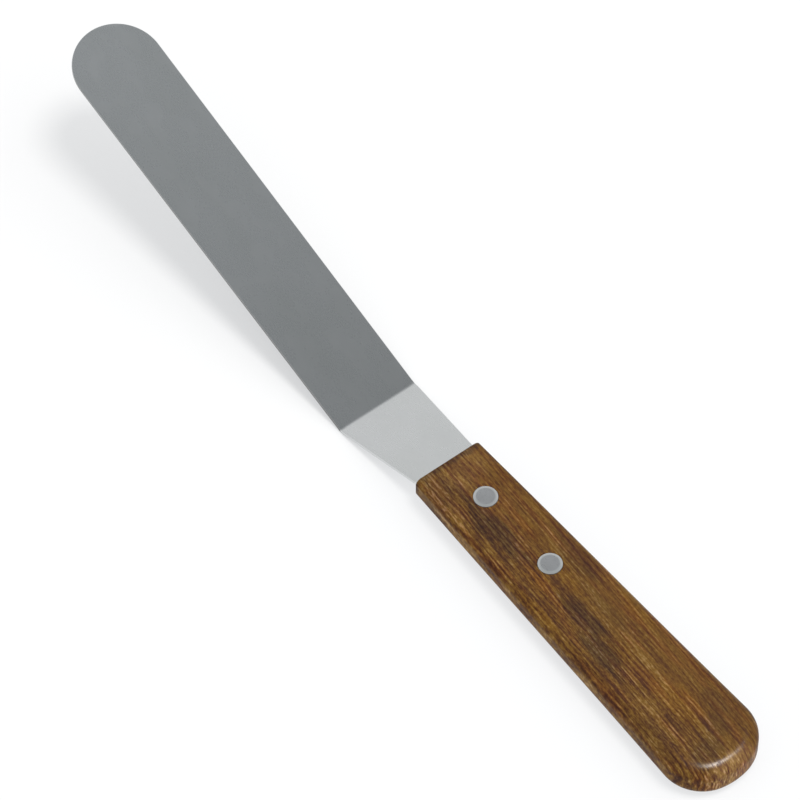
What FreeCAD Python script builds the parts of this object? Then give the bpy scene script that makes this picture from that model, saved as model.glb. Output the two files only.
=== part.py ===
import FreeCAD, Part

import math
import os

# Palette knife with an offset (cranked) blade: one strip of spring steel whose half tang is hidden
# between two hardwood handle halves, held by two cutler's rivets of a male and a female half each.
# Millimetres. The parts are made in the knife's own frame: X = 0 at the handle's front face, +X
# towards the tip, Z = 0 at the middle of the tang's thickness. rest_placement() then lays them on
# the ground as the knife rests, on the heel of its bend and the end of its handle.

# Handle: a wedge, thin and narrow at the front, thick and wide at the butt.
HANDLE_LENGTH = 115.2
FRONT_WIDTH = 20.5
BUTT_WIDTH = 26.6              # across the sides where the butt's corners begin
BUTT_CORNER_RADIUS = 11.8      # seen from above
BUTT_END_RADIUS = 19.5         # seen from above
FRONT_THICKNESS = 6.6
BUTT_THICKNESS = 10.9
FRONT_EASING = 1.7             # radius of the long edges at the front, growing towards the butt
BUTT_EASING = 3.8              # radius of the edges round the butt
FRONT_EDGE_RADIUS = 0.3        # round the front face

# Steel strip: tang, neck and blade are one piece.
STEEL_THICKNESS = 1.0
TIP_THICKNESS = 0.6            # the blade is ground thinner towards its tip
TANG_LENGTH = 52.0
TANG_WIDTH = 14.0
TANG_CORNER_RADIUS = 3.0
STUB_LENGTH = 0.75             # level stretch between the wood and the first bend
NECK_LENGTH = 28.8             # from bend to bend
NECK_DOWN = 12.0               # degrees below the tang's plane
NECK_WIDTH = 18.4              # at the wood
BEND_WIDTH = 24.0              # at the second bend
BEND_FLAT = 1.5                # parallel-sided stretch on each side of the second bend
BEND_RADIUS = 2.5              # inside of each bend
BLADE_LENGTH = 126.0           # from the second bend to the tip
BLADE_UP = 15.5                # degrees above the tang's plane
TIP_RADIUS = 12.5

# Rivets: the female half's tube passes through the wood and the tang, the male half's pin is
# driven into it from above.
RIVET_STATIONS = {"front": 14.7, "rear": 40.7}   # behind the handle's front face
RIVET_OFFSET = -0.75           # across the knife, from its centre line
HEAD_DIAMETER = 6.35
HEAD_SINK = 1.5                # depth of the head's seat in the wood
HEAD_PROUD = 0.25
HEAD_CHAMFER = 0.7             # measured across the head
TUBE_DIAMETER = 3.9
PIN_DIAMETER = 2.6
PIN_END_GAP = 0.4
HEAD_CLEARANCE = 0.10          # radial, round the head
TUBE_CLEARANCE = 0.10          # radial, round the tube
PIN_CLEARANCE = 0.01           # radial, round the pin

# Pocket for the tang, half of it in each handle half.
POCKET_CLEARANCE = 0.10

FAR = 400.0                    # reach of cutting tools, beyond the knife in every direction
NEAR = 1e-4                    # a point this close to a plane lies on it
STEEP = 0.9                    # an edge that rises this much along its length is upright

AHEAD = FreeCAD.Vector(1, 0, 0)
ACROSS = FreeCAD.Vector(0, 1, 0)
UP = FreeCAD.Vector(0, 0, 1)


def point(x, y=0.0, z=0.0):
    return FreeCAD.Vector(x, y, z)


def line(start, end):
    return Part.makeLine(start, end)


def arc(start, middle, end):
    return Part.Arc(start, middle, end).toShape()


def prism(edges, direction):
    return Part.Face(Part.Wire(edges)).extrude(direction)


def polygon_prism(points, direction):
    return Part.Face(Part.makePolygon(points + points[:1])).extrude(direction)


def slope_vector(degrees):
    angle = math.radians(degrees)
    return point(math.cos(angle), 0, math.sin(angle))


# ---- handle ----

def half_thickness(behind):
    """Half the handle's thickness at a distance behind its front face."""
    return (FRONT_THICKNESS + (BUTT_THICKNESS - FRONT_THICKNESS) * behind / HANDLE_LENGTH) / 2


def handle_plan():
    """Outline prism of the handle: straight diverging sides and an arched butt."""
    front = FRONT_WIDTH / 2
    straight = HANDLE_LENGTH - BUTT_CORNER_RADIUS
    flare = (BUTT_WIDTH - FRONT_WIDTH) / 2 / straight
    # where the straight side, prolonged, meets the arc of the butt's end
    centre = HANDLE_LENGTH - BUTT_END_RADIUS
    a = 1 + flare ** 2
    b = front * flare - centre
    c = front ** 2 + centre ** 2 - BUTT_END_RADIUS ** 2
    corner = (-b + math.sqrt(b ** 2 - a * c)) / a
    corner_y = front + flare * corner
    right_front = point(0, -front, -FAR)
    left_front = point(0, front, -FAR)
    right_corner = point(-corner, -corner_y, -FAR)
    left_corner = point(-corner, corner_y, -FAR)
    blank = prism(
        [
            line(right_front, left_front),
            line(left_front, left_corner),
            arc(left_corner, point(-HANDLE_LENGTH, 0, -FAR), right_corner),
            line(right_corner, right_front),
        ],
        UP * (2 * FAR),
    )
    corners = [e for e in blank.Edges if abs(e.CenterOfMass.x + corner) < NEAR and e.Length > FAR]
    return blank.makeFillet(BUTT_CORNER_RADIUS, corners)


def handle_quarter():
    """Left upper quarter of the handle's outside: outline, taper in thickness, eased edges."""
    reach = HANDLE_LENGTH + BUTT_CORNER_RADIUS
    wedge = polygon_prism(
        [
            point(0, 0, 0),
            point(0, 0, half_thickness(0)),
            point(-reach, 0, half_thickness(reach)),
            point(-reach, 0, 0),
        ],
        ACROSS * FAR,
    )
    blank = handle_plan().common(wedge)
    # the long edge: the radius grows along it and then stays the same round the butt
    long_edge = []
    for edge in blank.Edges:
        box = edge.BoundBox
        if box.XMax > -NEAR and box.YMin > NEAR and box.ZMin > half_thickness(0) - NEAR:
            long_edge.append(edge)
    eased = blank.makeFillet(FRONT_EASING, BUTT_EASING, long_edge)
    front_rim = []
    for edge in eased.Edges:
        box = edge.BoundBox
        if box.XMin > -NEAR and box.YMax > NEAR and box.ZMax > NEAR:
            front_rim.append(edge)
    return eased.makeFillet(FRONT_EDGE_RADIUS, front_rim)


def tang_plan(side_room, height):
    """The tang's outline, with room round it, centred on Z = 0. It starts at the front face."""
    half = TANG_WIDTH / 2 + side_room
    back = TANG_LENGTH + side_room
    slab = Part.makeBox(back, 2 * half, height, point(-back, -half, -height / 2))
    ends = [
        e for e in slab.Edges
        if abs(e.CenterOfMass.x + back) < NEAR and abs(e.tangentAt(0).z) > STEEP
    ]
    return slab.makeFillet(TANG_CORNER_RADIUS, ends)


def upright_cylinder(station, diameter, low, high):
    base = point(-station, RIVET_OFFSET, low)
    return Part.makeCylinder(diameter / 2, high - low, base, UP)


def rivet_seat(station):
    """What the drill takes from the handle for one rivet: a through hole and two head seats."""
    surface = half_thickness(station)
    floor = surface - HEAD_SINK
    seat = HEAD_DIAMETER + 2 * HEAD_CLEARANCE
    hole = upright_cylinder(station, TUBE_DIAMETER + 2 * TUBE_CLEARANCE, -FAR, FAR)
    above = upright_cylinder(station, seat, floor, FAR)
    below = upright_cylinder(station, seat, -FAR, -floor)
    return hole.fuse([above, below])


def handle_halves():
    """The two halves, each with its side of the tang's pocket and of the rivets' seats."""
    quarter = handle_quarter()
    upper = quarter.fuse(quarter.mirror(point(0), ACROSS)).removeSplitter()
    halves = {"handle_upper_half": upper, "handle_lower_half": upper.mirror(point(0), UP)}
    tools = [tang_plan(POCKET_CLEARANCE, STEEL_THICKNESS)]
    tools += [rivet_seat(station) for station in RIVET_STATIONS.values()]
    return {name: half.cut(tools).Solids[0] for name, half in halves.items()}


# ---- steel ----

def bend_points():
    """Mid-thickness corners of the strip: first bend, second bend, tip."""
    first = point(STUB_LENGTH)
    second = first + slope_vector(-NECK_DOWN) * NECK_LENGTH
    tip = second + slope_vector(BLADE_UP) * BLADE_LENGTH
    return first, second, tip


def strip():
    """The bent strip, wider than the knife, before its outline is cut."""
    first, second, tip = bend_points()

    def skin(side):
        """Corners of the upper (side 1) or lower (side -1) surface."""
        def mitred(corner, before, after):
            half_turn = math.radians(after - before) / 2
            normal = slope_vector((before + after) / 2 + 90)
            return corner + normal * (side * STEEL_THICKNESS / 2 / math.cos(half_turn))
        return [
            point(-TANG_LENGTH, 0, side * STEEL_THICKNESS / 2),
            mitred(first, 0, -NECK_DOWN),
            mitred(second, -NECK_DOWN, BLADE_UP),
            tip + slope_vector(BLADE_UP + 90) * (side * TIP_THICKNESS / 2),
        ]

    upper, lower = skin(1), skin(-1)
    blank = polygon_prism(
        [p - ACROSS * FAR for p in upper + lower[::-1]],
        ACROSS * (2 * FAR),
    )

    def edges_at(corners):
        return [
            e for e in blank.Edges
            if e.Length > FAR and any((e.CenterOfMass - c).Length < NEAR for c in corners)
        ]

    blank = blank.makeFillet(BEND_RADIUS, edges_at([lower[1], upper[2]]))
    return blank.makeFillet(BEND_RADIUS + STEEL_THICKNESS, edges_at([upper[1], lower[2]]))


def neck_outline():
    """Outline prism behind the second bend: tang, shoulders, stub and flaring neck."""
    second = bend_points()[1]
    corners = [
        point(0, NECK_WIDTH / 2),
        point(STUB_LENGTH, NECK_WIDTH / 2),
        point(second.x - BEND_FLAT, BEND_WIDTH / 2),
        point(second.x + BEND_FLAT, BEND_WIDTH / 2),
    ]
    mirrored = [point(p.x, -p.y) for p in reversed(corners)]
    neck = polygon_prism([p - UP * FAR for p in corners + mirrored], UP * (2 * FAR))
    return neck.fuse(tang_plan(0.0, 2 * STEEL_THICKNESS))


def blade_outline():
    """Outline prism ahead of the second bend, square to the blade: long taper, round tip."""
    centre = BLADE_LENGTH - TIP_RADIUS
    run = centre - BEND_FLAT
    half = BEND_WIDTH / 2
    # angle of the side that starts at the end of the parallel stretch and is tangent to the tip
    flare = math.asin(TIP_RADIUS / math.hypot(run, half)) - math.atan2(half, run)
    tangent_x = centre - TIP_RADIUS * math.sin(flare)
    tangent_y = TIP_RADIUS * math.cos(flare)
    outline = [
        line(point(-BEND_FLAT, -half), point(-BEND_FLAT, half)),
        line(point(-BEND_FLAT, half), point(BEND_FLAT, half)),
        line(point(BEND_FLAT, half), point(tangent_x, tangent_y)),
        arc(point(tangent_x, tangent_y), point(BLADE_LENGTH, 0), point(tangent_x, -tangent_y)),
        line(point(tangent_x, -tangent_y), point(BEND_FLAT, -half)),
        line(point(BEND_FLAT, -half), point(-BEND_FLAT, -half)),
    ]
    tool = prism(outline, UP * FAR)
    tool.translate(-UP * (FAR / 2))
    tool.rotate(point(0), -ACROSS, BLADE_UP)
    tool.translate(bend_points()[1])
    return tool


def blade():
    """Tang, neck and blade in one piece, with the tang's two rivet holes."""
    second = bend_points()[1]
    bisector = (BLADE_UP - NECK_DOWN) / 2
    ahead = Part.makeBox(FAR, 2 * FAR, 2 * FAR, point(0, -FAR, -FAR))
    ahead.rotate(point(0), -ACROSS, bisector)
    ahead.translate(second)
    bent = strip()
    steel = bent.cut(ahead).common(neck_outline())
    steel = steel.fuse(bent.common(ahead).common(blade_outline())).removeSplitter()
    for station in RIVET_STATIONS.values():
        hole = upright_cylinder(station, TUBE_DIAMETER + 2 * TUBE_CLEARANCE, -FAR, FAR)
        steel = steel.cut(hole)
    return steel


# ---- rivets ----

def chamfered_head(station, outward):
    """Rivet head on the upper (outward 1) or lower (outward -1) face of the handle."""
    floor = half_thickness(station) - HEAD_SINK
    head = Part.makeCylinder(HEAD_DIAMETER / 2, HEAD_SINK, point(0), UP)
    rim = Part.makeCone(HEAD_DIAMETER / 2, HEAD_DIAMETER / 2 - HEAD_CHAMFER, HEAD_PROUD,
                        point(0, 0, HEAD_SINK), UP)
    head = head.fuse(rim).removeSplitter()
    if outward < 0:
        head.rotate(point(0), AHEAD, 180)
    head.translate(point(-station, RIVET_OFFSET, outward * floor))
    return head


def rivet(station):
    """Male and female halves of one cutler's rivet."""
    floor = half_thickness(station) - HEAD_SINK
    pin = upright_cylinder(station, PIN_DIAMETER, -floor + PIN_END_GAP, floor)
    tube = upright_cylinder(station, TUBE_DIAMETER, -floor, floor - PIN_END_GAP)
    bore = upright_cylinder(station, PIN_DIAMETER + 2 * PIN_CLEARANCE, -floor, floor)
    male = chamfered_head(station, 1).fuse(pin).removeSplitter()
    female = chamfered_head(station, -1).fuse(tube.cut(bore)).removeSplitter()
    return male, female


# ---- resting pose ----

def rest_placement(shapes):
    """Turns the knife so that its heel and its butt both touch the ground, then centres it."""
    second = bend_points()[1]
    # the heel: arc of the second bend's outer side, whose centre lies above the corner
    half_turn = math.radians(BLADE_UP + NECK_DOWN) / 2
    heel_radius = BEND_RADIUS + STEEL_THICKNESS
    normal = slope_vector((BLADE_UP - NECK_DOWN) / 2 + 90)
    rise = (BEND_RADIUS + STEEL_THICKNESS / 2) / math.cos(half_turn)
    heel = second + normal * rise
    # the butt: arc of its eased lower edge, one radius inside the end and the underside
    taper = math.atan2(BUTT_THICKNESS - FRONT_THICKNESS, 2 * HANDLE_LENGTH)
    inset = HANDLE_LENGTH - BUTT_EASING
    butt = point(-inset, 0, -half_thickness(inset) + BUTT_EASING / math.cos(taper))
    # angle of the ground line that is tangent to both arcs from below
    run = heel - butt
    ground = math.atan2(run.z, run.x) + math.asin((BUTT_EASING - heel_radius) / run.Length)
    turn = FreeCAD.Rotation(ACROSS, math.degrees(ground))
    level = FreeCAD.Placement(point(0), turn)
    box = Part.makeCompound([moved(shape, level) for shape in shapes]).optimalBoundingBox(False)
    lift = heel_radius - level.multVec(heel).z
    centre = point(-(box.XMin + box.XMax) / 2, -(box.YMin + box.YMax) / 2, lift)
    return FreeCAD.Placement(centre, turn)


def moved(shape, placement):
    copy = shape.copy()
    copy.transformShape(placement.toMatrix(), True)
    return copy


parts = {"blade": blade(), **handle_halves()}
for name, station in RIVET_STATIONS.items():
    parts[name + "_rivet_male"], parts[name + "_rivet_female"] = rivet(station)

rest = rest_placement(list(parts.values()))
os.makedirs("parts", exist_ok=True)
for name, shape in parts.items():
    placed = moved(shape, rest)
    placed.exportStep(os.path.join("parts", name + ".step"))
    print(name, "solids", len(placed.Solids), "volume", round(placed.Volume, 1), placed.isValid())
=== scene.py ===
import math

import bmesh
import bpy
import numpy as np
from mathutils import Matrix, Vector
from mathutils.geometry import delaunay_2d_cdt


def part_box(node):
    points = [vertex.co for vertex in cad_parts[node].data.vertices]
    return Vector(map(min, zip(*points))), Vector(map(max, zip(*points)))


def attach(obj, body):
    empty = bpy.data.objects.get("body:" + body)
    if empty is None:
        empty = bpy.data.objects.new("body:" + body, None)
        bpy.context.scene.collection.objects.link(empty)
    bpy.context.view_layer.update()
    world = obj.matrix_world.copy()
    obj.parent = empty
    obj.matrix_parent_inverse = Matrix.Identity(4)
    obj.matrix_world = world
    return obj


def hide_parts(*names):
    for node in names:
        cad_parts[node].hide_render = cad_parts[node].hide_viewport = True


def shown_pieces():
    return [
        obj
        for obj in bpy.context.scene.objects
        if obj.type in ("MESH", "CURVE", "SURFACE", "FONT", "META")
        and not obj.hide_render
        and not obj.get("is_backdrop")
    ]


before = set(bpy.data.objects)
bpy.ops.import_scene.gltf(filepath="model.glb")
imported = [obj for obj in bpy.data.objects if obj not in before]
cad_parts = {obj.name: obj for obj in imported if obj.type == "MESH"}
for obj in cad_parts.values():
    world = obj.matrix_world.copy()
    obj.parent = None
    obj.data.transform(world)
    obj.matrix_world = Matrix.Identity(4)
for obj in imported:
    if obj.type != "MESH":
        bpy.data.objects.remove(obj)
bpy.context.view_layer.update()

# A palette knife with an offset blade. Each piece is a closed mesh that stands for one CAD node.
# The shapes are made in millimetres in the knife's own frame: x = 0 at the handle's front face,
# +x towards the tip, z = 0 at the middle of the tang's thickness.
MM = 0.001

# Handle.
HANDLE_LENGTH = 115.2
FRONT_WIDTH, BUTT_WIDTH = 20.5, 26.6
BUTT_CORNER_RADIUS, BUTT_END_RADIUS = 11.8, 19.5
FRONT_THICKNESS, BUTT_THICKNESS = 6.6, 10.9
FRONT_EASING, BUTT_EASING = 1.7, 3.8    # radius of the long edges
EASING_LEAD = 10.0             # that radius starts to grow this far ahead of the front face
FRONT_EDGE_RADIUS = 0.3
SEAM_CHAMFER = 0.04

# Steel strip.
STEEL_THICKNESS, TIP_THICKNESS = 1.0, 0.6
TANG_LENGTH, TANG_WIDTH, TANG_CORNER_RADIUS = 52.0, 14.0, 3.0
STUB_LENGTH = 0.75
NECK_LENGTH, NECK_DOWN, NECK_WIDTH = 28.8, 12.0, 18.4
BEND_WIDTH, BEND_FLAT, BEND_RADIUS = 24.0, 1.5, 2.5
BLADE_LENGTH, BLADE_UP, TIP_RADIUS = 126.0, 15.5, 12.5
STEEL_EDGE = 0.13              # radius that the strip's edges are polished to

# Rivets.
RIVET_STATIONS = {"front": 14.7, "rear": 40.7}
RIVET_OFFSET = -0.75
HEAD_RADIUS, HEAD_SINK, HEAD_PROUD, HEAD_CHAMFER = 3.175, 1.5, 0.25, 0.7
HEAD_CROWN = 0.012             # the middle of a head stands this much above the start of its rim
HEAD_FLAT_END = 0.12           # the last ring of the flat lies this far inside the rim
RIM_CURVE = 1.6                # power of the curve in which the rim turns down
TUBE_RADIUS, PIN_RADIUS, PIN_END_GAP, PIN_POINT = 1.95, 1.3, 0.4, 0.2
CLEARANCE, PIN_CLEARANCE = 0.10, 0.01
SEAT_RIM = 0.10                # the wood is eased this much round each head

# Fineness of the meshes.
WELD = 2e-4                    # points nearer than this are one
SLIVER = 1e-5                  # least area of a triangle, as a share of its longest side squared
HOLE_STEPS = 72                # segments round a hole or a rivet
RIM_POINTS = 9
ROUND_STEPS = 10               # segments of a quarter circle on the wood
WALL_SHARES = (0.33, 0.66)     # rings between the seam and the rounding
FRONT_ROWS, FRONT_COLUMNS = 6, 17
SIDE_POINTS, CORNER_POINTS, END_POINTS = 60, 42, 8
POCKET_CORNER_POINTS, TANG_CORNER_POINTS, TANG_POINTS = 10, 8, 13
WOOD_GRID, WOOD_GRID_GAP = 1.6, 0.8     # points on the handle's flat, and their distance from its rim
STEEL_GRID = 2.0               # points across the strip
STEEL_EDGE_POINTS = 5
NECK_LEAD, NECK_POINTS = 0.8, 13
FIRST_BEND_POINTS, SECOND_BEND_POINTS = 7, 11
BLADE_POINTS, TIP_POINTS = 40, 40
WOOD_SHARP, METAL_SHARP = 35, 50        # degrees; where faces meet at more, the edge stays sharp


def knife_placement():
    """Matrix from the knife's own frame to the row frame, read from the two handle halves."""
    upper_low, upper_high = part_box("handle_upper_half")
    lower_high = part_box("handle_lower_half")[1]
    tilt = math.asin((lower_high.z - upper_low.z) / (HANDLE_LENGTH * MM))
    front = Vector((upper_high.x, 0, lower_high.z))
    return Matrix.Translation(front) @ Matrix.Rotation(-tilt, 4, "Y") @ Matrix.Scale(MM, 4)


KNIFE = knife_placement()


# ---- mesh tools ----

def link(obj):
    """Puts an object in the scene."""
    bpy.context.scene.collection.objects.link(obj)
    return obj


def inside(loops, points):
    """Which points lie inside the first loop and outside the others."""
    odd = np.zeros(len(points), bool)
    for loop in loops:
        a = np.asarray(loop, float)
        b = np.roll(a, -1, axis=0)
        for (ax, ay), (bx, by) in zip(a, b):
            if ay == by:
                continue
            crosses = (ay > points[:, 1]) != (by > points[:, 1])
            reach = ax + (points[:, 1] - ay) * (bx - ax) / (by - ay)
            odd ^= crosses & (points[:, 0] < reach)
    return odd


def circle(station, radius):
    """Points of a circle round a rivet's axis, seen from above."""
    turns = np.arange(HOLE_STEPS) * 2 * math.pi / HOLE_STEPS
    return np.c_[-station + radius * np.cos(turns), RIVET_OFFSET + radius * np.sin(turns)]


def grid_inside(loops, step, gap):
    """A square grid of points inside the loops, clear of their edges by gap."""
    outer = np.asarray(loops[0], float)
    low, high = outer.min(0), outer.max(0)
    xs = np.arange(low[0] + step / 2, high[0], step)
    ys = np.arange(low[1] + step / 2, high[1], step)
    points = np.stack(np.meshgrid(xs, ys), -1).reshape(-1, 2)
    points = points[inside(loops, points)]
    rim = np.concatenate([np.asarray(loop, float) for loop in loops])
    near = np.array([np.hypot(*(rim - p).T).min() for p in points]) < gap
    return points[~near]


class Skin:
    """Collects the faces of one closed mesh."""

    def __init__(self):
        self.points, self.faces = [], []

    def add(self, points):
        start = len(self.points)
        self.points += [tuple(map(float, p)) for p in points]
        return list(range(start, len(self.points)))

    def bridge(self, first, second, closed=True):
        """Quads between two lines of equally many points."""
        a, b = self.add(first), self.add(second)
        count = len(a) if closed else len(a) - 1
        for i in range(count):
            j = (i + 1) % len(a)
            self.faces.append((a[i], a[j], b[j], b[i]))

    def fill(self, loops, lift, seeds=(), rows=()):
        """Triangles inside the first flat loop and outside the others, lifted into space.

        Seeds are further points for the triangles to meet at, and rows are lines of such points.
        """
        flat, edges = [], []
        for loop in loops:
            start = len(flat)
            flat += [Vector(p) for p in loop]
            edges += [(start + i, start + (i + 1) % len(loop)) for i in range(len(loop))]
        for row in rows:
            start = len(flat)
            flat += [Vector(p) for p in row]
            edges += [(start + i, start + i + 1) for i in range(len(row) - 1)]
        flat += [Vector(p) for p in seeds]
        made = delaunay_2d_cdt(flat, edges, [], 0, 1e-6)
        points = np.array([tuple(p) for p in made[0]])
        triangles = np.array([tuple(f) for f in made[2]])
        corners = points[triangles]
        sides = corners - np.roll(corners, 1, axis=1)
        area = abs(sides[:, 0, 0] * sides[:, 1, 1] - sides[:, 0, 1] * sides[:, 1, 0])
        keep = inside(loops, corners.mean(1)) & (area > SLIVER * (sides ** 2).sum(2).max(1))
        index = self.add(lift(points[:, 0], points[:, 1]))
        self.faces += [tuple(index[i] for i in t) for t in triangles[keep]]

    def piece(self, name, node, slot, material, sharp=WOOD_SHARP):
        """Closes the skin into an object that stands for a CAD node."""
        bm = bmesh.new()
        verts = [bm.verts.new(KNIFE @ Vector(p)) for p in self.points]
        for face in self.faces:
            bm.faces.new([verts[i] for i in face])
        bmesh.ops.remove_doubles(bm, verts=bm.verts, dist=WELD * MM)
        bmesh.ops.dissolve_degenerate(bm, edges=bm.edges, dist=WELD * MM)
        loose = [v for v in bm.verts if not v.link_faces]
        bmesh.ops.delete(bm, geom=loose, context="VERTS")
        bmesh.ops.recalc_face_normals(bm, faces=bm.faces)
        mesh = bpy.data.meshes.new(name)
        bm.to_mesh(mesh)
        bm.free()
        mesh.polygons.foreach_set("use_smooth", [True] * len(mesh.polygons))
        mesh.set_sharp_from_angle(angle=math.radians(sharp))
        mesh.materials.append(material)
        obj = link(bpy.data.objects.new(name, mesh))
        weighted = obj.modifiers.new("even_flats", "WEIGHTED_NORMAL")
        weighted.keep_sharp = True
        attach(obj, "root")
        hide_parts(node)


# ---- handle ----

FLARE = (BUTT_WIDTH - FRONT_WIDTH) / 2 / (HANDLE_LENGTH - BUTT_CORNER_RADIUS)


def side_y(x):
    return FRONT_WIDTH / 2 - FLARE * x


def half_thickness(x):
    return (FRONT_THICKNESS + (BUTT_THICKNESS - FRONT_THICKNESS) * -x / HANDLE_LENGTH) / 2


def easing(x):
    """Radius of the long edges at x: it grows smoothly up to where the butt's corners begin."""
    along = np.clip((EASING_LEAD - x) / (EASING_LEAD + HANDLE_LENGTH - BUTT_CORNER_RADIUS), 0, 1)
    return FRONT_EASING + (BUTT_EASING - FRONT_EASING) * along ** 2 * (3 - 2 * along)


def plan_stations():
    """Left side of the handle's outline from front to end: points and inward directions."""
    lean = math.hypot(1, FLARE)
    end_centre = -(HANDLE_LENGTH - BUTT_END_RADIUS)
    apart = BUTT_END_RADIUS - BUTT_CORNER_RADIUS
    # the corner's arc touches both the side and the end's arc; the loop closes in on its centre
    corner_x = end_centre - apart
    for _ in range(20):
        corner_y = side_y(corner_x) - BUTT_CORNER_RADIUS * lean
        corner_x = end_centre - math.sqrt(apart ** 2 - corner_y ** 2)
    start = math.atan2(1, FLARE)
    change = math.atan2(corner_y, corner_x - end_centre)
    tangent_x = corner_x + BUTT_CORNER_RADIUS * math.cos(start)
    # the stations are closer where the front edge is eased
    quarter = np.linspace(0, math.pi / 2, FRONT_ROWS)
    eased = [-FRONT_EDGE_RADIUS * (1 - math.cos(turn)) for turn in quarter]
    straight = np.linspace(eased[-1], tangent_x, SIDE_POINTS)[1:]
    points, inward = [], []
    for x in [*eased, *straight]:
        share = x / tangent_x
        points.append((x, side_y(x)))
        inward.append((-FLARE * share / lean, -lean * (1 - share) - share / lean))
    for turn in np.linspace(start, change, CORNER_POINTS)[1:]:
        c, s = math.cos(turn), math.sin(turn)
        points.append((corner_x + BUTT_CORNER_RADIUS * c, corner_y + BUTT_CORNER_RADIUS * s))
        inward.append((-c, -s))
    for turn in np.linspace(change, math.pi, END_POINTS)[1:]:
        c, s = math.cos(turn), math.sin(turn)
        points.append((end_centre + BUTT_END_RADIUS * c, BUTT_END_RADIUS * s))
        inward.append((-c, -s))
    return np.array(points), np.array(inward)


def front_ease(x):
    """How far the outline of the cross-section is drawn in at x."""
    depth = np.clip(FRONT_EDGE_RADIUS + np.asarray(x, float), 0, FRONT_EDGE_RADIUS)
    return FRONT_EDGE_RADIUS - np.sqrt(FRONT_EDGE_RADIUS ** 2 - depth ** 2)


def pocket_loop():
    """Outline of the tang's pocket: open at the front face, rounded at its back corners."""
    half, back = TANG_WIDTH / 2 + CLEARANCE, TANG_LENGTH + CLEARANCE
    points = [(0, half)]
    for turn in np.linspace(math.pi / 2, math.pi, POCKET_CORNER_POINTS):
        points.append((-back + TANG_CORNER_RADIUS * (1 + math.cos(turn)),
                       half - TANG_CORNER_RADIUS * (1 - math.sin(turn))))
    points += [(x, -y) for x, y in reversed(points)]
    return np.array(points)


def handle_half(name, node, side, wood):
    """One half of the handle; side is 1 above the tang and -1 below it."""
    skin = Skin()
    left, inward = plan_stations()
    right, right_in = left[-2::-1] * (1, -1), inward[-2::-1] * (1, -1)
    outline, toward = np.r_[left, right], np.r_[inward, right_in]
    ease = front_ease(outline[:, 0])
    radius = easing(outline[:, 0])

    def ring(depth, height):
        """The outline drawn in by depth, at the height that a function of x gives."""
        flat = outline + toward * depth[:, None]
        return np.c_[flat, side * height(flat[:, 0])]

    def level(loop, z):
        """A flat loop at the height z."""
        return np.c_[loop, np.broadcast_to(side * z, len(loop))]

    rings = [ring(ease + SEAM_CHAMFER, lambda x: 0 * x), ring(ease, lambda x: 0 * x + SEAM_CHAMFER)]
    for share in WALL_SHARES:
        rings.append(ring(ease, lambda x, k=share: (half_thickness(x) - radius) * k))
    for turn in np.linspace(0, math.pi / 2, ROUND_STEPS + 1):
        reach = (radius - ease) * math.cos(turn)
        rise = (radius - ease) * math.sin(turn)
        rings.append(ring(radius - reach, lambda x, r=rise: half_thickness(x) - radius + r))
    for lower, upper in zip(rings, rings[1:]):
        skin.bridge(lower, upper, closed=False)

    # top: rows across the eased front edge, then one flat face with the rivets' seats in it
    top = rings[-1]
    across = np.linspace(0, 1, FRONT_COLUMNS)[:, None]
    rows = [top[i] * (1 - across) + top[-1 - i] * across for i in range(FRONT_ROWS)]
    for first, second in zip(rows, rows[1:]):
        skin.bridge(first, second, closed=False)
    face = np.r_[top[FRONT_ROWS - 1:len(top) - FRONT_ROWS + 1, :2], rows[-1][-2:0:-1, :2]]
    seats = [circle(s, HEAD_RADIUS + CLEARANCE + SEAT_RIM) for s in RIVET_STATIONS.values()]
    loops = [face, *seats]
    skin.fill(loops, lambda x, y: np.c_[x, y, side * half_thickness(x)],
              seeds=grid_inside(loops, WOOD_GRID, WOOD_GRID_GAP))

    # front face, with the mouth of the pocket in it
    mouth = TANG_WIDTH / 2 + CLEARANCE
    low = STEEL_THICKNESS / 2
    profile = [r[0] for r in rings] + list(rows[0][1:-1]) + [r[-1] for r in rings[::-1]]
    profile = np.array(profile)[:, 1:] * (1, side)
    notch = np.array([(-mouth, 0), (-mouth, low), (mouth, low), (mouth, 0)])
    skin.fill([np.r_[profile, notch]], lambda y, z: np.c_[0 * y, y, side * z])

    # seam and pocket
    pocket = pocket_loop()
    seam = rings[0][:, :2]
    skin.fill([np.r_[seam, pocket[::-1]]], lambda x, y: np.c_[x, y, 0 * x])
    skin.bridge(level(pocket, 0.0), level(pocket, low), closed=False)
    holes = [circle(s, TUBE_RADIUS + CLEARANCE) for s in RIVET_STATIONS.values()]
    skin.fill([pocket, *holes], lambda x, y: np.c_[x, y, 0 * x + side * low])

    # the heads' seats, and the holes from them to the pocket
    for station, seat, hole in zip(RIVET_STATIONS.values(), seats, holes):
        seat_floor = half_thickness(-station) - HEAD_SINK
        wall = circle(station, HEAD_RADIUS + CLEARANCE)
        wall_top = level(wall, half_thickness(wall[:, 0]) - SEAT_RIM)
        skin.bridge(level(seat, half_thickness(seat[:, 0])), wall_top)
        skin.bridge(wall_top, level(wall, seat_floor))
        skin.bridge(level(wall, seat_floor), level(hole, seat_floor))
        skin.bridge(level(hole, seat_floor), level(hole, low))
    skin.piece(name, node, "handle_wood", wood)


# ---- steel ----

FIRST_BEND = STUB_LENGTH
SECOND_BEND = STUB_LENGTH + NECK_LENGTH
TIP = SECOND_BEND + BLADE_LENGTH
MID_RADIUS = BEND_RADIUS + STEEL_THICKNESS / 2
SLOPES = [0.0, -NECK_DOWN, BLADE_UP]


def bend_reach(index):
    """Length along the strip, each side of a bend's corner, that its arc takes up."""
    return MID_RADIUS * math.tan(math.radians(abs(SLOPES[index + 1] - SLOPES[index])) / 2)


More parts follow.
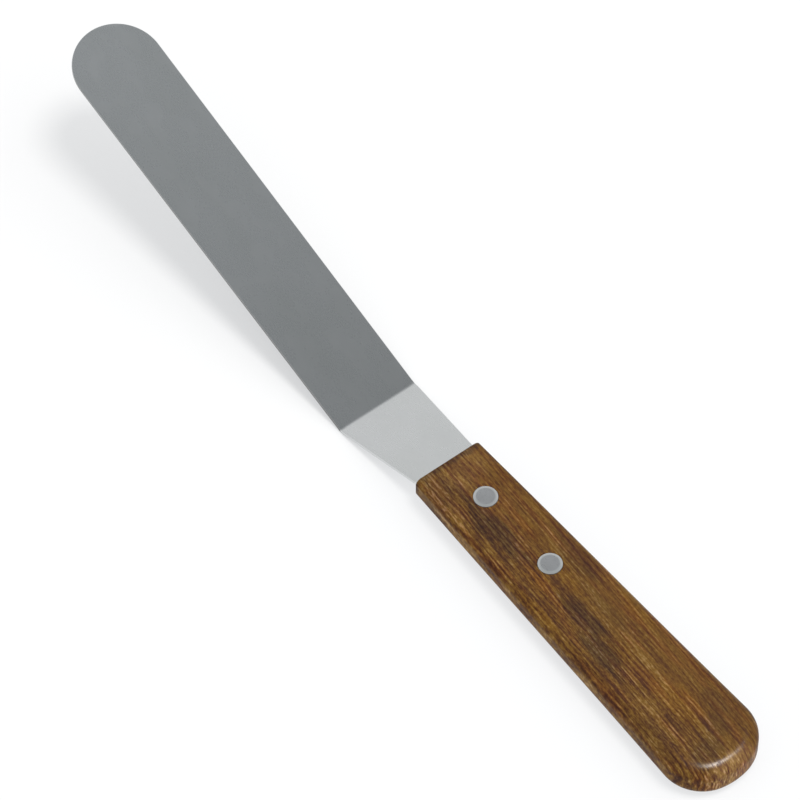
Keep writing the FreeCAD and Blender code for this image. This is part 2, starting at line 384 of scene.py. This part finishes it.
def on_strip(s):
    """Middle of the strip's thickness (x, z) and its slope, at a length s along it."""
    corners = [(FIRST_BEND, (STUB_LENGTH, 0.0))]
    down = math.radians(-NECK_DOWN)
    corners.append((SECOND_BEND, (STUB_LENGTH + NECK_LENGTH * math.cos(down),
                                  NECK_LENGTH * math.sin(down))))
    for index, (at, (cx, cz)) in enumerate(corners):
        reach = bend_reach(index)
        if abs(s - at) < reach:
            before, after = (math.radians(a) for a in SLOPES[index:index + 2])
            share = (s - at + reach) / (2 * reach)
            slope = before + (after - before) * share
            start = (cx - reach * math.cos(before), cz - reach * math.sin(before))
            turn = math.copysign(MID_RADIUS, after - before)
            return (start[0] + turn * (math.sin(slope) - math.sin(before)),
                    start[1] - turn * (math.cos(slope) - math.cos(before)), slope)
    if s < FIRST_BEND:
        return s, 0.0, 0.0
    at, (cx, cz) = corners[0] if s < SECOND_BEND else corners[1]
    slope = math.radians(SLOPES[1] if s < SECOND_BEND else SLOPES[2])
    return cx + (s - at) * math.cos(slope), cz + (s - at) * math.sin(slope), slope


def half_steel(s):
    taper = np.clip((np.asarray(s, float) - SECOND_BEND) / BLADE_LENGTH, 0, 1)
    return (STEEL_THICKNESS + (TIP_THICKNESS - STEEL_THICKNESS) * taper) / 2


def bent(s, y, height):
    """Points of the strip at a height above its middle, after it is bent."""
    height = np.broadcast_to(height, len(s))
    out = []
    for si, yi, hi in zip(s, y, height):
        x, z, slope = on_strip(si)
        out.append((x - hi * math.sin(slope), yi, z + hi * math.cos(slope)))
    return np.array(out)


def strip_side():
    """Left side of the flat strip, from the tang's end to the tip: points (s, y)."""
    half, radius = TANG_WIDTH / 2, TANG_CORNER_RADIUS
    points = [(-TANG_LENGTH, 0.0)]
    for turn in np.linspace(math.pi, math.pi / 2, TANG_CORNER_POINTS):
        points.append((-TANG_LENGTH + radius * (1 + math.cos(turn)),
                       half - radius * (1 - math.sin(turn))))
    points += [(s, half) for s in np.linspace(2 * radius - TANG_LENGTH, 0, TANG_POINTS)]
    neck, wide = NECK_WIDTH / 2, BEND_WIDTH / 2
    points += [(0.0, neck)]
    flat_start = SECOND_BEND - BEND_FLAT / math.cos(math.radians(NECK_DOWN))
    stations = [FIRST_BEND + bend_reach(0) * k for k in np.linspace(-1, 1, FIRST_BEND_POINTS)]
    stations += list(np.linspace(FIRST_BEND + NECK_LEAD, flat_start, NECK_POINTS))
    stations += [SECOND_BEND + bend_reach(1) * k for k in np.linspace(-1, 1, SECOND_BEND_POINTS)]
    stations += [SECOND_BEND + BEND_FLAT]
    for s in stations:
        share = np.clip((s - FIRST_BEND) / (flat_start - FIRST_BEND), 0, 1)
        points.append((s, neck + (wide - neck) * share))
    centre = BLADE_LENGTH - TIP_RADIUS
    run = centre - BEND_FLAT
    flare = math.asin(TIP_RADIUS / math.hypot(run, wide)) - math.atan2(wide, run)
    tangent = (centre - TIP_RADIUS * math.sin(flare), TIP_RADIUS * math.cos(flare))
    for share in np.linspace(0, 1, BLADE_POINTS)[1:]:
        points.append((SECOND_BEND + BEND_FLAT + (tangent[0] - BEND_FLAT) * share,
                       wide + (tangent[1] - wide) * share))
    for turn in np.linspace(math.pi / 2 + flare, 0, TIP_POINTS)[1:]:
        points.append((SECOND_BEND + centre + TIP_RADIUS * math.cos(turn),
                       TIP_RADIUS * math.sin(turn)))
    return np.array(points)


def drawn_in(loop, depth):
    """A closed loop, counted clockwise, moved inwards by depth."""
    before, after = loop - np.roll(loop, 1, 0), np.roll(loop, -1, 0) - loop
    normals = []
    for edge in (before, after):
        edge = edge / np.hypot(*edge.T)[:, None]
        normals.append(np.c_[edge[:, 1], -edge[:, 0]])
    mean = normals[0] + normals[1]
    mean /= (mean * normals[0]).sum(1)[:, None]
    return loop + mean * depth


def rows_across(face, count):
    """Lines of points across the strip ahead of the wood; face begins with its count left points."""
    rows = []
    for i in range(count):
        left, right = face[i], face[-i]
        if left[0] > STUB_LENGTH / 2 and left[1] > STEEL_GRID / 2:
            steps = max(2, round(2 * left[1] / STEEL_GRID))
            rows.append([left + (right - left) * k / steps for k in range(steps + 1)])
    return rows


def steel_strip(steel):
    """Blade, neck and tang: one strip with its edges rounded, drilled for the rivets and bent."""
    skin = Skin()
    left = strip_side()
    loop = np.r_[left, left[-2:0:-1] * (1, -1)]
    holes = [circle(s, TUBE_RADIUS + CLEARANCE) for s in RIVET_STATIONS.values()]
    edges = []
    for side in (1, -1):
        rings = []
        for turn in np.linspace(0, math.pi / 2, STEEL_EDGE_POINTS):
            flat = drawn_in(loop, STEEL_EDGE * (1 - math.cos(turn)))
            height = half_steel(flat[:, 0]) - STEEL_EDGE * (1 - math.sin(turn))
            rings.append(bent(flat[:, 0], flat[:, 1], side * height))
        for lower, upper in zip(rings, rings[1:]):
            skin.bridge(lower, upper)
        skin.fill([flat, *holes], lambda s, y: bent(s, y, side * half_steel(s)),
                  rows=rows_across(flat, len(left)))
        edges.append(rings[0])
    skin.bridge(*edges)
    for hole in holes:
        skin.bridge(bent(hole[:, 0], hole[:, 1], STEEL_THICKNESS / 2),
                    bent(hole[:, 0], hole[:, 1], -STEEL_THICKNESS / 2))
    skin.piece("cranked_blade", "blade", "blade_steel", steel)


# ---- rivets ----

def turned(name, node, station, side, profile, metal):
    """A turned piece from its profile, (radius, height) pairs that start and end on the axis."""
    skin = Skin()
    rings = [np.c_[circle(station, radius), np.full(HOLE_STEPS, side * height)]
             for radius, height in profile]
    for first, second in zip(rings, rings[1:]):
        skin.bridge(first, second)
    skin.piece(name, node, "rivet_metal", metal, sharp=METAL_SHARP)


def head_profile(surface):
    """Upper side of a rivet's head: nearly flat, its rim turned down in a smooth curve."""
    inner = HEAD_RADIUS - HEAD_CHAMFER
    top = surface + HEAD_PROUD
    points = [(0.0, top), (inner / 2, top - HEAD_CROWN / 3),
              (inner - HEAD_FLAT_END, top - HEAD_CROWN * 5 / 6)]
    for share in np.linspace(0, 1, RIM_POINTS):
        drop = HEAD_CROWN + (HEAD_PROUD - HEAD_CROWN) * share ** RIM_CURVE
        points.append((inner + HEAD_CHAMFER * share, top - drop))
    return points


def rivet(station, where, metal):
    """A rivet's two halves: a head with a pin from above, and a head with a tube from below."""
    surface = half_thickness(-station)
    under_head = surface - HEAD_SINK
    end = PIN_END_GAP - under_head
    bore = PIN_RADIUS + PIN_CLEARANCE
    head = head_profile(surface)
    male = head + [(HEAD_RADIUS, under_head), (PIN_RADIUS, under_head),
                   (PIN_RADIUS, end + PIN_POINT), (PIN_RADIUS - PIN_POINT, end), (0.0, end)]
    female = head + [(HEAD_RADIUS, under_head), (TUBE_RADIUS, under_head), (TUBE_RADIUS, end),
                     (bore, end), (bore, under_head), (0.0, under_head)]
    turned(where + "_rivet_pin_half", where + "_rivet_male", station, 1, male, metal)
    turned(where + "_rivet_tube_half", where + "_rivet_female", station, -1, female, metal)


# ---- materials ----

class Nodes:
    """A node tree, built from small steps; every step gives the socket it makes."""

    def __init__(self, tree):
        self.tree = tree

    def node(self, kind, **settings):
        made = self.tree.nodes.new(kind)
        for key, value in settings.items():
            setattr(made, key, value)
        return made

    def feed(self, socket, value):
        if isinstance(value, bpy.types.NodeSocket):
            self.tree.links.new(value, socket)
        elif isinstance(value, tuple) and len(value) == 3 and socket.type == "RGBA":
            socket.default_value = (*value, 1)
        else:
            socket.default_value = value

    def coordinate(self, vector, axis):
        made = self.node("ShaderNodeSeparateXYZ")
        self.feed(made.inputs[0], vector)
        return made.outputs[axis]

    def ramp(self, value, stops):
        """Colours between the stops, which are (value, colour) pairs."""
        made = self.node("ShaderNodeValToRGB")
        self.feed(made.inputs["Fac"], value)
        elements = made.color_ramp.elements
        while len(elements) < len(stops):
            elements.new(0.5)
        for element, (at, colour) in zip(elements, stops):
            element.position = at
            element.color = (*colour, 1)
        return made.outputs["Color"]

    def mixed_shader(self, share, a, b):
        made = self.node("ShaderNodeMixShader")
        for index, value in enumerate((share, a, b)):
            self.feed(made.inputs[index], value)
        return made.outputs[0]


class Recipe(Nodes):
    """A material, laid out in the object's own coordinates."""

    def __init__(self, name):
        self.material = bpy.data.materials.new(name)
        self.material.use_nodes = True
        super().__init__(self.material.node_tree)
        self.shader = self.tree.nodes["Principled BSDF"]
        self.place = self.node("ShaderNodeTexCoord").outputs["Object"]

    def set(self, **inputs):
        for name, value in inputs.items():
            self.feed(self.shader.inputs[name.replace("_", " ")], value)

    def mapped(self, vector, scale=(1, 1, 1), move=(0, 0, 0), turn=(0, 0, 0)):
        made = self.node("ShaderNodeMapping")
        self.feed(made.inputs["Vector"], vector)
        made.inputs["Scale"].default_value = scale
        made.inputs["Location"].default_value = move
        made.inputs["Rotation"].default_value = turn
        return made.outputs["Vector"]

    def noise(self, size_mm, seed=0.0, detail=2.0, rough=0.5, bend=0.0, at=None):
        """Noise with features of size_mm along x, y and z."""
        scale = tuple(1 / (MM * s) for s in size_mm)
        made = self.node("ShaderNodeTexNoise")
        where = self.mapped(at or self.place, scale=scale, move=(seed, 2.3 * seed, 3.1 * seed))
        self.feed(made.inputs["Vector"], where)
        settings = {"Scale": 1.0, "Detail": detail, "Roughness": rough, "Distortion": bend}
        for name, value in settings.items():
            made.inputs[name].default_value = value
        return made.outputs["Fac"]

    def span(self, value, low, high, to_low=0.0, to_high=1.0, smooth=True):
        """Goes from to_low to to_high while the value goes from low to high, and no further."""
        made = self.node("ShaderNodeMapRange", interpolation_type="SMOOTHSTEP" if smooth else "LINEAR")
        for socket, item in zip(made.inputs, (value, low, high, to_low, to_high)):
            self.feed(socket, item)
        return made.outputs["Result"]

    def math(self, operation, a, b=0.0):
        made = self.node("ShaderNodeMath", operation=operation)
        self.feed(made.inputs[0], a)
        self.feed(made.inputs[1], b)
        return made.outputs[0]

    def length(self, vector):
        made = self.node("ShaderNodeVectorMath", operation="LENGTH")
        self.feed(made.inputs[0], vector)
        return made.outputs["Value"]

    def blend(self, share, a, b, kind="MIX"):
        made = self.node("ShaderNodeMix", data_type="RGBA", blend_type=kind)
        for index, value in ((0, share), (6, a), (7, b)):
            self.feed(made.inputs[index], value)
        return made.outputs[2]

    def tinted(self, share, colour, tint):
        """The colour where share is 0, and the colour times the tint where it is 1."""
        return self.blend(share, colour, self.blend(1.0, colour, tint, "MULTIPLY"))

    def mix_value(self, share, a, b):
        """The number a where share is 0 and b where it is 1."""
        step = self.math("MULTIPLY", share, self.math("SUBTRACT", b, a))
        return self.math("ADD", a, step)

    def scaled(self, colour, by):
        made = self.node("ShaderNodeVectorMath", operation="SCALE")
        self.feed(made.inputs[0], colour)
        self.feed(made.inputs["Scale"], by)
        return made.outputs[0]

    def upright(self):
        """1 on surfaces that stand upright, 0 on those that lie nearly flat."""
        normal = self.node("ShaderNodeNewGeometry").outputs["Normal"]
        return self.span(self.math("ABSOLUTE", self.coordinate(normal, "Z")), 0.3, 0.7, 1, 0)

    def bump(self, height, depth_mm, strength):
        made = self.node("ShaderNodeBump")
        made.inputs["Strength"].default_value = strength
        made.inputs["Distance"].default_value = depth_mm * MM
        self.feed(made.inputs["Height"], height)
        return made.outputs["Normal"]


GRAIN_DRIFT = 3.0              # degrees between the grain and the handle's centre line
LINE_SPACING = 1.1             # mm, of the parallel light lines in the wood
LINE_WANDER = 2.5              # how many spacings those lines wander sideways
WOOD_TONES = [
    (0.24, (0.040, 0.0155, 0.0080)),
    (0.40, (0.080, 0.0332, 0.0117)),
    (0.50, (0.117, 0.0556, 0.0146)),
    (0.62, (0.167, 0.0877, 0.0187)),
    (0.80, (0.293, 0.1800, 0.0700)),
]
# What the wood's colour is multiplied by where it is of another kind, or where painted shade or painted
# light lies on it.
REDDISH, GOLDEN = (1.04, 0.88, 0.96), (1.08, 1.01, 0.80)
DARK_HEART_AND_SHADE, PALE_AND_LIT = (0.59, 0.63, 0.96), (1.60, 1.75, 2.60)
# Where that is: centre (x, y) in the knife's frame, half length, half width, all in mm, and strength.
DARK_AREAS_AND_SHADE = [
    (-25.5, 3.6, 13.0, 3.4, 1.00),
    (-59.0, 2.6, 10.0, 3.4, 1.00),
    (-69.5, 5.6, 9.0, 3.0, 1.00),
    (-61.0, -3.6, 12.0, 2.6, 0.40),
    (-43.5, -7.4, 10.0, 3.2, 0.60),
    (-98.5, -8.0, 6.0, 3.2, 0.45),
    (-103.5, -3.0, 4.5, 3.6, 0.50),
    (-108.0, 4.0, 4.0, 5.5, 0.65),
    (-8.0, 7.5, 9.0, 5.0, 0.50),
    # painted shade: a dark line along the wood's edge at the front face, where it meets the neck
    (-0.2, 0.0, 1.7, 16.0, 0.90),       # the rim at the front face
    (-96.0, 12.0, 10.0, 2.5, 0.30),
]
GOLDEN_AREAS = [
    (-45.0, 5.5, 9.0, 3.6, 0.70),
    (-50.0, 9.5, 9.0, 2.5, 0.60),
    (-48.0, -0.8, 6.0, 2.0, 0.60),
    (-29.0, -3.0, 7.0, 2.2, 0.50),
    (-72.0, 2.0, 7.0, 2.0, 0.60),
    (-93.0, 0.5, 9.0, 4.6, 0.85),
    (-68.0, -9.0, 8.0, 2.2, 0.50),
]
PALE_AND_LIT_AREAS = [
    # painted light: the butt's end face is made paler and bluer, for its end grain and for the light it
    # catches
    (-114.0, -0.5, 2.6, 8.5, 1.00),     # the end grain at the butt
    (-5.0, -2.0, 6.0, 8.0, 0.30),
]
AREA_START, AREA_FULL = 1.20, 0.45      # where an area begins and is full, in its half sizes
AREA_RAGGED = 0.45             # how ragged that is, in the same measure
AREA_LIFT = 0.02               # how little height counts in it, beside the distance across


def wood_area(m, areas, ragged):
    """Where the areas lie, with ragged outlines that are drawn out along the grain."""
    uneven = m.span(ragged, 0.30, 0.70, -AREA_RAGGED, AREA_RAGGED, smooth=False)
    found = 0.0
    for x, y, half_long, half_wide, strength in areas:
        centre = KNIFE @ Vector((x, y, 0))
        scale = (1 / (half_long * MM), 1 / (half_wide * MM), AREA_LIFT / (half_wide * MM))
        away = m.length(m.mapped(m.place, scale=scale, move=[-c * s for c, s in zip(centre, scale)]))
        away = m.math("ADD", away, uneven)
        found = m.math("MAXIMUM", found, m.span(away, AREA_START, AREA_FULL, 0, strength))
    return found


def wood_material():
    """Lacquered hardwood: fine wavy streaks broken into dashes, golden on red-brown."""
    m = Recipe("handle_hardwood")
    grain = m.mapped(m.place, turn=(0, 0, math.radians(GRAIN_DRIFT)))
    bands = m.noise((48, 3.6, 6), seed=3.1, detail=2, bend=0.4, at=grain)
    streaks = m.noise((9, 0.42, 2.4), seed=7.3, detail=3, rough=0.6, bend=0.25, at=grain)
    lines = m.noise((16, 1.00, 3.2), seed=5.9, detail=2, rough=0.6, bend=0.3, at=grain)
    waviness = m.noise((24, 3.0, 4), seed=15.1, detail=1, at=grain)
    dashes = m.noise((1.3, 0.45, 1.5), seed=21.3, detail=2, rough=0.6, at=grain)
    hue = m.noise((16, 2.2, 4), seed=11.7, detail=2, at=grain)
    ragged = m.noise((12, 2.4, 9), seed=41.9, detail=3, rough=0.6, at=grain)
    golden = wood_area(m, GOLDEN_AREAS, ragged)

    # rails: parallel light lines at an even spacing, which wander a little and come and go
    across = m.math("MULTIPLY", m.coordinate(grain, "Y"), 1 / (LINE_SPACING * MM))
    turns = m.math("ADD", across, m.math("MULTIPLY", waviness, LINE_WANDER))
    rails = m.math("MULTIPLY", m.math("SINE", m.math("MULTIPLY", turns, math.tau)),
                   m.span(hue, 0.35, 0.65, 0.2, 1.0))
    rails = m.math("ADD", m.math("MULTIPLY", rails, 0.5), 0.5)

    # the figure is stronger on the handle's left side
    figure = m.span(m.coordinate(m.place, "Y"), -10 * MM, 9 * MM, 0.85, 1.35)
    tone = 0.5
    for layer, weight in ((bands, 0.28), (streaks, 0.46), (lines, 0.42), (dashes, 0.54), (rails, 0.17)):
        swing = m.math("MULTIPLY", m.math("SUBTRACT", layer, 0.5), weight)
        tone = m.math("ADD", tone, m.math("MULTIPLY", swing, figure))
    tone = m.math("ADD", tone, m.math("MULTIPLY", golden, 0.04))

    colour = m.ramp(tone, WOOD_TONES)
    colour = m.tinted(m.span(hue, 0.48, 0.64, 0, 0.8), colour, REDDISH)
    colour = m.tinted(golden, colour, GOLDEN)
    # darker heartwood, and painted shade at the front face
    colour = m.tinted(wood_area(m, DARK_AREAS_AND_SHADE, ragged), colour, DARK_HEART_AND_SHADE)
    # paler wood, and painted light on the butt's end face
    colour = m.tinted(wood_area(m, PALE_AND_LIT_AREAS, ragged), colour, PALE_AND_LIT)

    pits = m.span(tone, 0.46, 0.30)
    height = m.math("SUBTRACT", m.math("MULTIPLY", streaks, 0.5), pits)
    rough = m.span(streaks, 0.3, 0.7, 0.25, 0.33, smooth=False)
    m.set(Base_Color=colour, Roughness=m.math("ADD", rough, m.math("MULTIPLY", pits, 0.08)),
          Normal=m.bump(height, 0.030, 0.5), Specular_IOR_Level=0.03)
    return m.material


STEEL_TONES = [(0.35, (0.560, 0.572, 0.572)), (0.65, (0.585, 0.595, 0.600))]
BRUSHED_LINES = (0.44, 0.45, 0.455)
# Painted reflection: what the steel's colour is multiplied by along the blade, on the neck, and close
# to the wood, so each part looks as bright as what it mirrors.
HEEL_REFLECTION_TONE, TIP_REFLECTION_TONE = 0.80, 1.08
# painted reflection on the neck, and a painted highlight in a thin strip where the neck meets the wood
NECK_REFLECTION_TONE, WOOD_END_HIGHLIGHT_TONE = 1.09, 1.28
# painted shade: the blade's narrow side faces are darkened as if in shade
SIDE_FACE_SHADE = 0.30          # the same once more, on the blade's narrow side faces


def row_x(x):
    """Where a place x along the knife is in the row frame."""
    return (KNIFE @ Vector((x, 0, 0))).x


def steel_material():
    """Satin steel: hazy clouds, faint lengthwise polishing lines, and a painted reflection that makes
    the blade darker towards the heel.
    """
    m = Recipe("satin_steel")
    cloud = m.noise((34, 13, 13), seed=2.7, detail=2)
    brushed = m.noise((38, 0.30, 0.30), seed=9.1, detail=2, rough=0.5)
    smears = m.noise((9, 5, 5), seed=17.5, detail=3, rough=0.6, bend=0.6)

    along = m.coordinate(m.place, "X")
    wood_end, heel, tip = row_x(0), row_x(on_strip(SECOND_BEND)[0]), row_x(on_strip(TIP)[0])
    # painted reflection: the blade's colour darkens towards the heel and lightens towards the tip,
    # standing in for the darker and brighter studio it mirrors
    painted_reflection_along_blade = m.span(along, heel, tip, HEEL_REFLECTION_TONE, TIP_REFLECTION_TONE, smooth=False)
    # painted light: the neck brighter than the blade, brightest as a painted highlight just by the
    # wood's front face
    neck_painted_light = m.span(along, wood_end + 1.6 * MM, wood_end + 1.0 * MM, NECK_REFLECTION_TONE, WOOD_END_HIGHLIGHT_TONE)
    on_neck = m.span(along, heel + 0.3 * MM, heel - 0.3 * MM)
    # painted shade on the blade's upright side faces, but not on the neck's
    painted_shade_on_sides = m.math("MULTIPLY", m.upright(), m.math("SUBTRACT", 1.0, on_neck))
    tone = m.math("MULTIPLY", m.mix_value(on_neck, painted_reflection_along_blade, neck_painted_light),
                  m.mix_value(painted_shade_on_sides, 1.0, SIDE_FACE_SHADE))

    colour = m.scaled(m.ramp(cloud, STEEL_TONES), tone)
    colour = m.blend(m.span(brushed, 0.35, 0.65, 0, 0.05, smooth=False), colour, BRUSHED_LINES)
    rough = m.math("ADD", m.span(brushed, 0.3, 0.7, 0.26, 0.30, smooth=False),
                   m.span(smears, 0.45, 0.7, 0.0, 0.04))
    m.set(Base_Color=colour, Metallic=1.0, Roughness=rough, Normal=m.bump(brushed, 0.0006, 0.3))
    return m.material


HEAD_TONES = [(0.35, (0.500, 0.505, 0.510)), (0.65, (0.535, 0.540, 0.548))]
RIM_SHEEN_COLOUR = (0.610, 0.625, 0.620)


def rivet_material():
    """Buffed heads with a blunter, more matt rim, whose lighter colour is a painted sheen."""
    m = Recipe("rivet_metal")
    cloud = m.noise((2.4, 2.4, 2.4), seed=6.1, detail=3)
    scratch = m.noise((0.9, 0.10, 0.4), seed=13.3, detail=2, bend=0.4)
    away = 1.0
    for station in RIVET_STATIONS.values():
        centre = KNIFE @ Vector((-station, RIVET_OFFSET, 0))
        flat = m.mapped(m.place, scale=(1, 1, 0), move=(-centre.x, -centre.y, 0))
        away = m.math("MINIMUM", away, m.length(flat))
    inner = HEAD_RADIUS - HEAD_CHAMFER
    rim = m.span(away, (inner - 0.10) * MM, (inner + 0.05) * MM)
    # painted sheen: the rim's lighter colour stands in for the bright ring its chamfer mirrors; its
    # added roughness is the real matt finish
    colour = m.blend(rim, m.ramp(cloud, HEAD_TONES), RIM_SHEEN_COLOUR)
    rough = m.math("ADD", m.span(scratch, 0.3, 0.7, 0.27, 0.34, smooth=False),
                   m.math("MULTIPLY", rim, 0.26))
    m.set(Base_Color=colour, Metallic=1.0, Roughness=rough, Normal=m.bump(scratch, 0.0010, 0.3))
    return m.material


wood, steel, metal = wood_material(), steel_material(), rivet_material()
steel_strip(steel)
handle_half("handle_top_half", "handle_upper_half", 1, wood)
handle_half("handle_bottom_half", "handle_lower_half", -1, wood)
for where, station in RIVET_STATIONS.items():
    rivet(station, where, metal)


# ---- floor, light and camera ----

FLOOR_REACH = 8.0              # metres to each side
TABLE_TONES = [(0.3, (0.90, 0.90, 0.90)), (0.7, (0.91, 0.91, 0.91))]
TABLE_SHARE = (0.82, 0.71)     # share of its own glow in the floor's look, by the handle and the blade
TABLE_GLOW = (0.855, 0.708)    # radiance of that glow; the rest of the look is lit from above
TABLE_GRADING = 15             # mm each side of the middle in which the one becomes the other
GLOW_COLOUR = (0.975, 0.985, 1.0)

FILL = 1.11                    # radiance of the studio's walls, for diffuse light
FILL_COLOUR = (0.985, 0.995, 1.0)
GLOSS = 1.0                    # the same, as polished surfaces mirror it
# Colour of the walls in such a mirror, by the sine of the height above the horizon.
WALLS = [
    (0.0, (1.0, 1.0, 1.0)),
    (0.45, (1.0, 1.0, 1.0)),
    (0.574, (0.88, 0.89, 0.89)),
    (0.819, (0.48, 0.49, 0.50)),
    (0.934, (0.37, 0.39, 0.40)),
    (1.0, (0.36, 0.38, 0.39)),
]

# The lamps: name, irradiance, width, azimuth and elevation in degrees, and what they light.
KEY_COLOUR = (1.0, 0.985, 0.965)
LAMPS = [
    ("key", 0.72, 16, -140, 75, "pieces"),
    ("key_table", 2.30, 20, -140, 75, "table"),
    ("key_table_low", 1.00, 60, -140, 42, "table"),
    ("key_gloss_near", 11.5, 14, -170, 75, "lacquer"),
    ("key_gloss_middle", 11.5, 14, -140, 75, "lacquer"),
    ("key_gloss_far", 11.5, 14, -110, 75, "lacquer"),
]

# The camera, in millimetres and degrees in the row frame.
CAMERA_AIM, CAMERA_DISTANCE = (6.622, -3.593, 5.95), 1663.007
CAMERA_AZIMUTH, CAMERA_ELEVATION, CAMERA_ROLL = 142.38379, 54.72289, -0.26627
LENS, SENSOR_WIDTH = 293.382, 36.0


def direction(azimuth, elevation):
    az, el = math.radians(azimuth), math.radians(elevation)
    return Vector((math.cos(el) * math.cos(az), math.cos(el) * math.sin(az), math.sin(el)))


def floor():
    """A pale light table, whose own glow is stronger, and so its shadows fainter, by the handle.

    It is seen from above only, so that the underside can be looked at.
    """
    m = Recipe("pale_floor")
    tone = m.noise((400, 400, 400), detail=1)
    m.set(Base_Color=m.ramp(tone, TABLE_TONES), Roughness=0.9, Specular_IOR_Level=0.0)
    across, limit = m.coordinate(m.place, "X"), TABLE_GRADING * MM
    share, strength = (m.span(across, -limit, limit, *ends, smooth=False)
                       for ends in (TABLE_SHARE, TABLE_GLOW))
    glow = m.node("ShaderNodeEmission")
    m.feed(glow.inputs["Color"], GLOW_COLOUR)
    m.feed(glow.inputs["Strength"], strength)
    look = m.mixed_shader(share, m.shader.outputs[0], glow.outputs[0])
    backfacing = m.node("ShaderNodeNewGeometry").outputs["Backfacing"]
    clear = m.node("ShaderNodeBsdfTransparent").outputs[0]
    m.feed(m.tree.nodes["Material Output"].inputs["Surface"], m.mixed_shader(backfacing, look, clear))
    mesh = bpy.data.meshes.new("floor")
    corners = ((-1, -1), (1, -1), (1, 1), (-1, 1))
    mesh.from_pydata([(x * FLOOR_REACH, y * FLOOR_REACH, 0) for x, y in corners], [], [(0, 1, 2, 3)])
    mesh.materials.append(m.material)
    table = link(bpy.data.objects.new("floor", mesh))
    table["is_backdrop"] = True
    return table


def studio():
    """White walls all round, which look darker towards the ceiling where surfaces mirror them."""
    world = bpy.data.worlds.new("studio")
    bpy.context.scene.world = world
    world.use_nodes = True
    world.cycles.sampling_method = "NONE"
    w = Nodes(world.node_tree)
    height = w.coordinate(w.node("ShaderNodeTexCoord").outputs["Generated"], "Z")
    mirrored = w.tree.nodes["Background"]
    w.feed(mirrored.inputs["Color"], w.ramp(height, WALLS))
    w.feed(mirrored.inputs["Strength"], GLOSS)
    diffuse = w.node("ShaderNodeBackground")
    w.feed(diffuse.inputs["Color"], FILL_COLOUR)
    w.feed(diffuse.inputs["Strength"], FILL)
    glossy = w.node("ShaderNodeLightPath").outputs["Is Glossy Ray"]
    w.feed(w.tree.nodes["World Output"].inputs["Surface"],
           w.mixed_shader(glossy, diffuse.outputs[0], mirrored.outputs[0]))


def key_light(table):
    """A soft box high on the right, behind the handle's end. Only the wood's lacquer mirrors it.

    Each lamp lights its own things and nothing else, but everything casts a shadow in it.
    """
    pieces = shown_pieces()
    wooden = [piece for piece in pieces if piece.name.startswith("handle")]
    lit = {"pieces": pieces, "table": [table], "lacquer": wooden}
    for name, irradiance, width, azimuth, elevation, what in LAMPS:
        sun = bpy.data.lights.new(name, "SUN")
        sun.energy = irradiance
        sun.angle = math.radians(width)
        sun.color = KEY_COLOUR
        lamp = link(bpy.data.objects.new(name, sun))
        lamp.rotation_mode = "QUATERNION"
        lamp.rotation_quaternion = direction(azimuth, elevation).to_track_quat("Z", "Y")
        lamp.visible_glossy = what == "lacquer"
        lamp.visible_diffuse = what != "lacquer"
        receivers = bpy.data.collections.new(name + "_receivers")
        for obj in lit[what]:
            receivers.objects.link(obj)
        lamp.light_linking.receiver_collection = receivers


def camera():
    cam = bpy.data.cameras.new("camera")
    cam.sensor_width = SENSOR_WIDTH
    cam.lens = LENS
    obj = link(bpy.data.objects.new("camera", cam))
    back = direction(CAMERA_AZIMUTH, CAMERA_ELEVATION)
    right = Vector((0, 0, 1)).cross(back).normalized()
    up = back.cross(right)
    roll = math.radians(CAMERA_ROLL)
    right, up = (right * math.cos(roll) + up * math.sin(roll),
                 up * math.cos(roll) - right * math.sin(roll))
    place = Matrix((right, up, back)).transposed().to_4x4()
    place.translation = (Vector(CAMERA_AIM) + back * CAMERA_DISTANCE) * MM
    obj.matrix_world = place
    bpy.context.scene.camera = obj


table = floor()
studio()
key_light(table)
camera()
bpy.context.scene.view_settings.view_transform = "Standard"
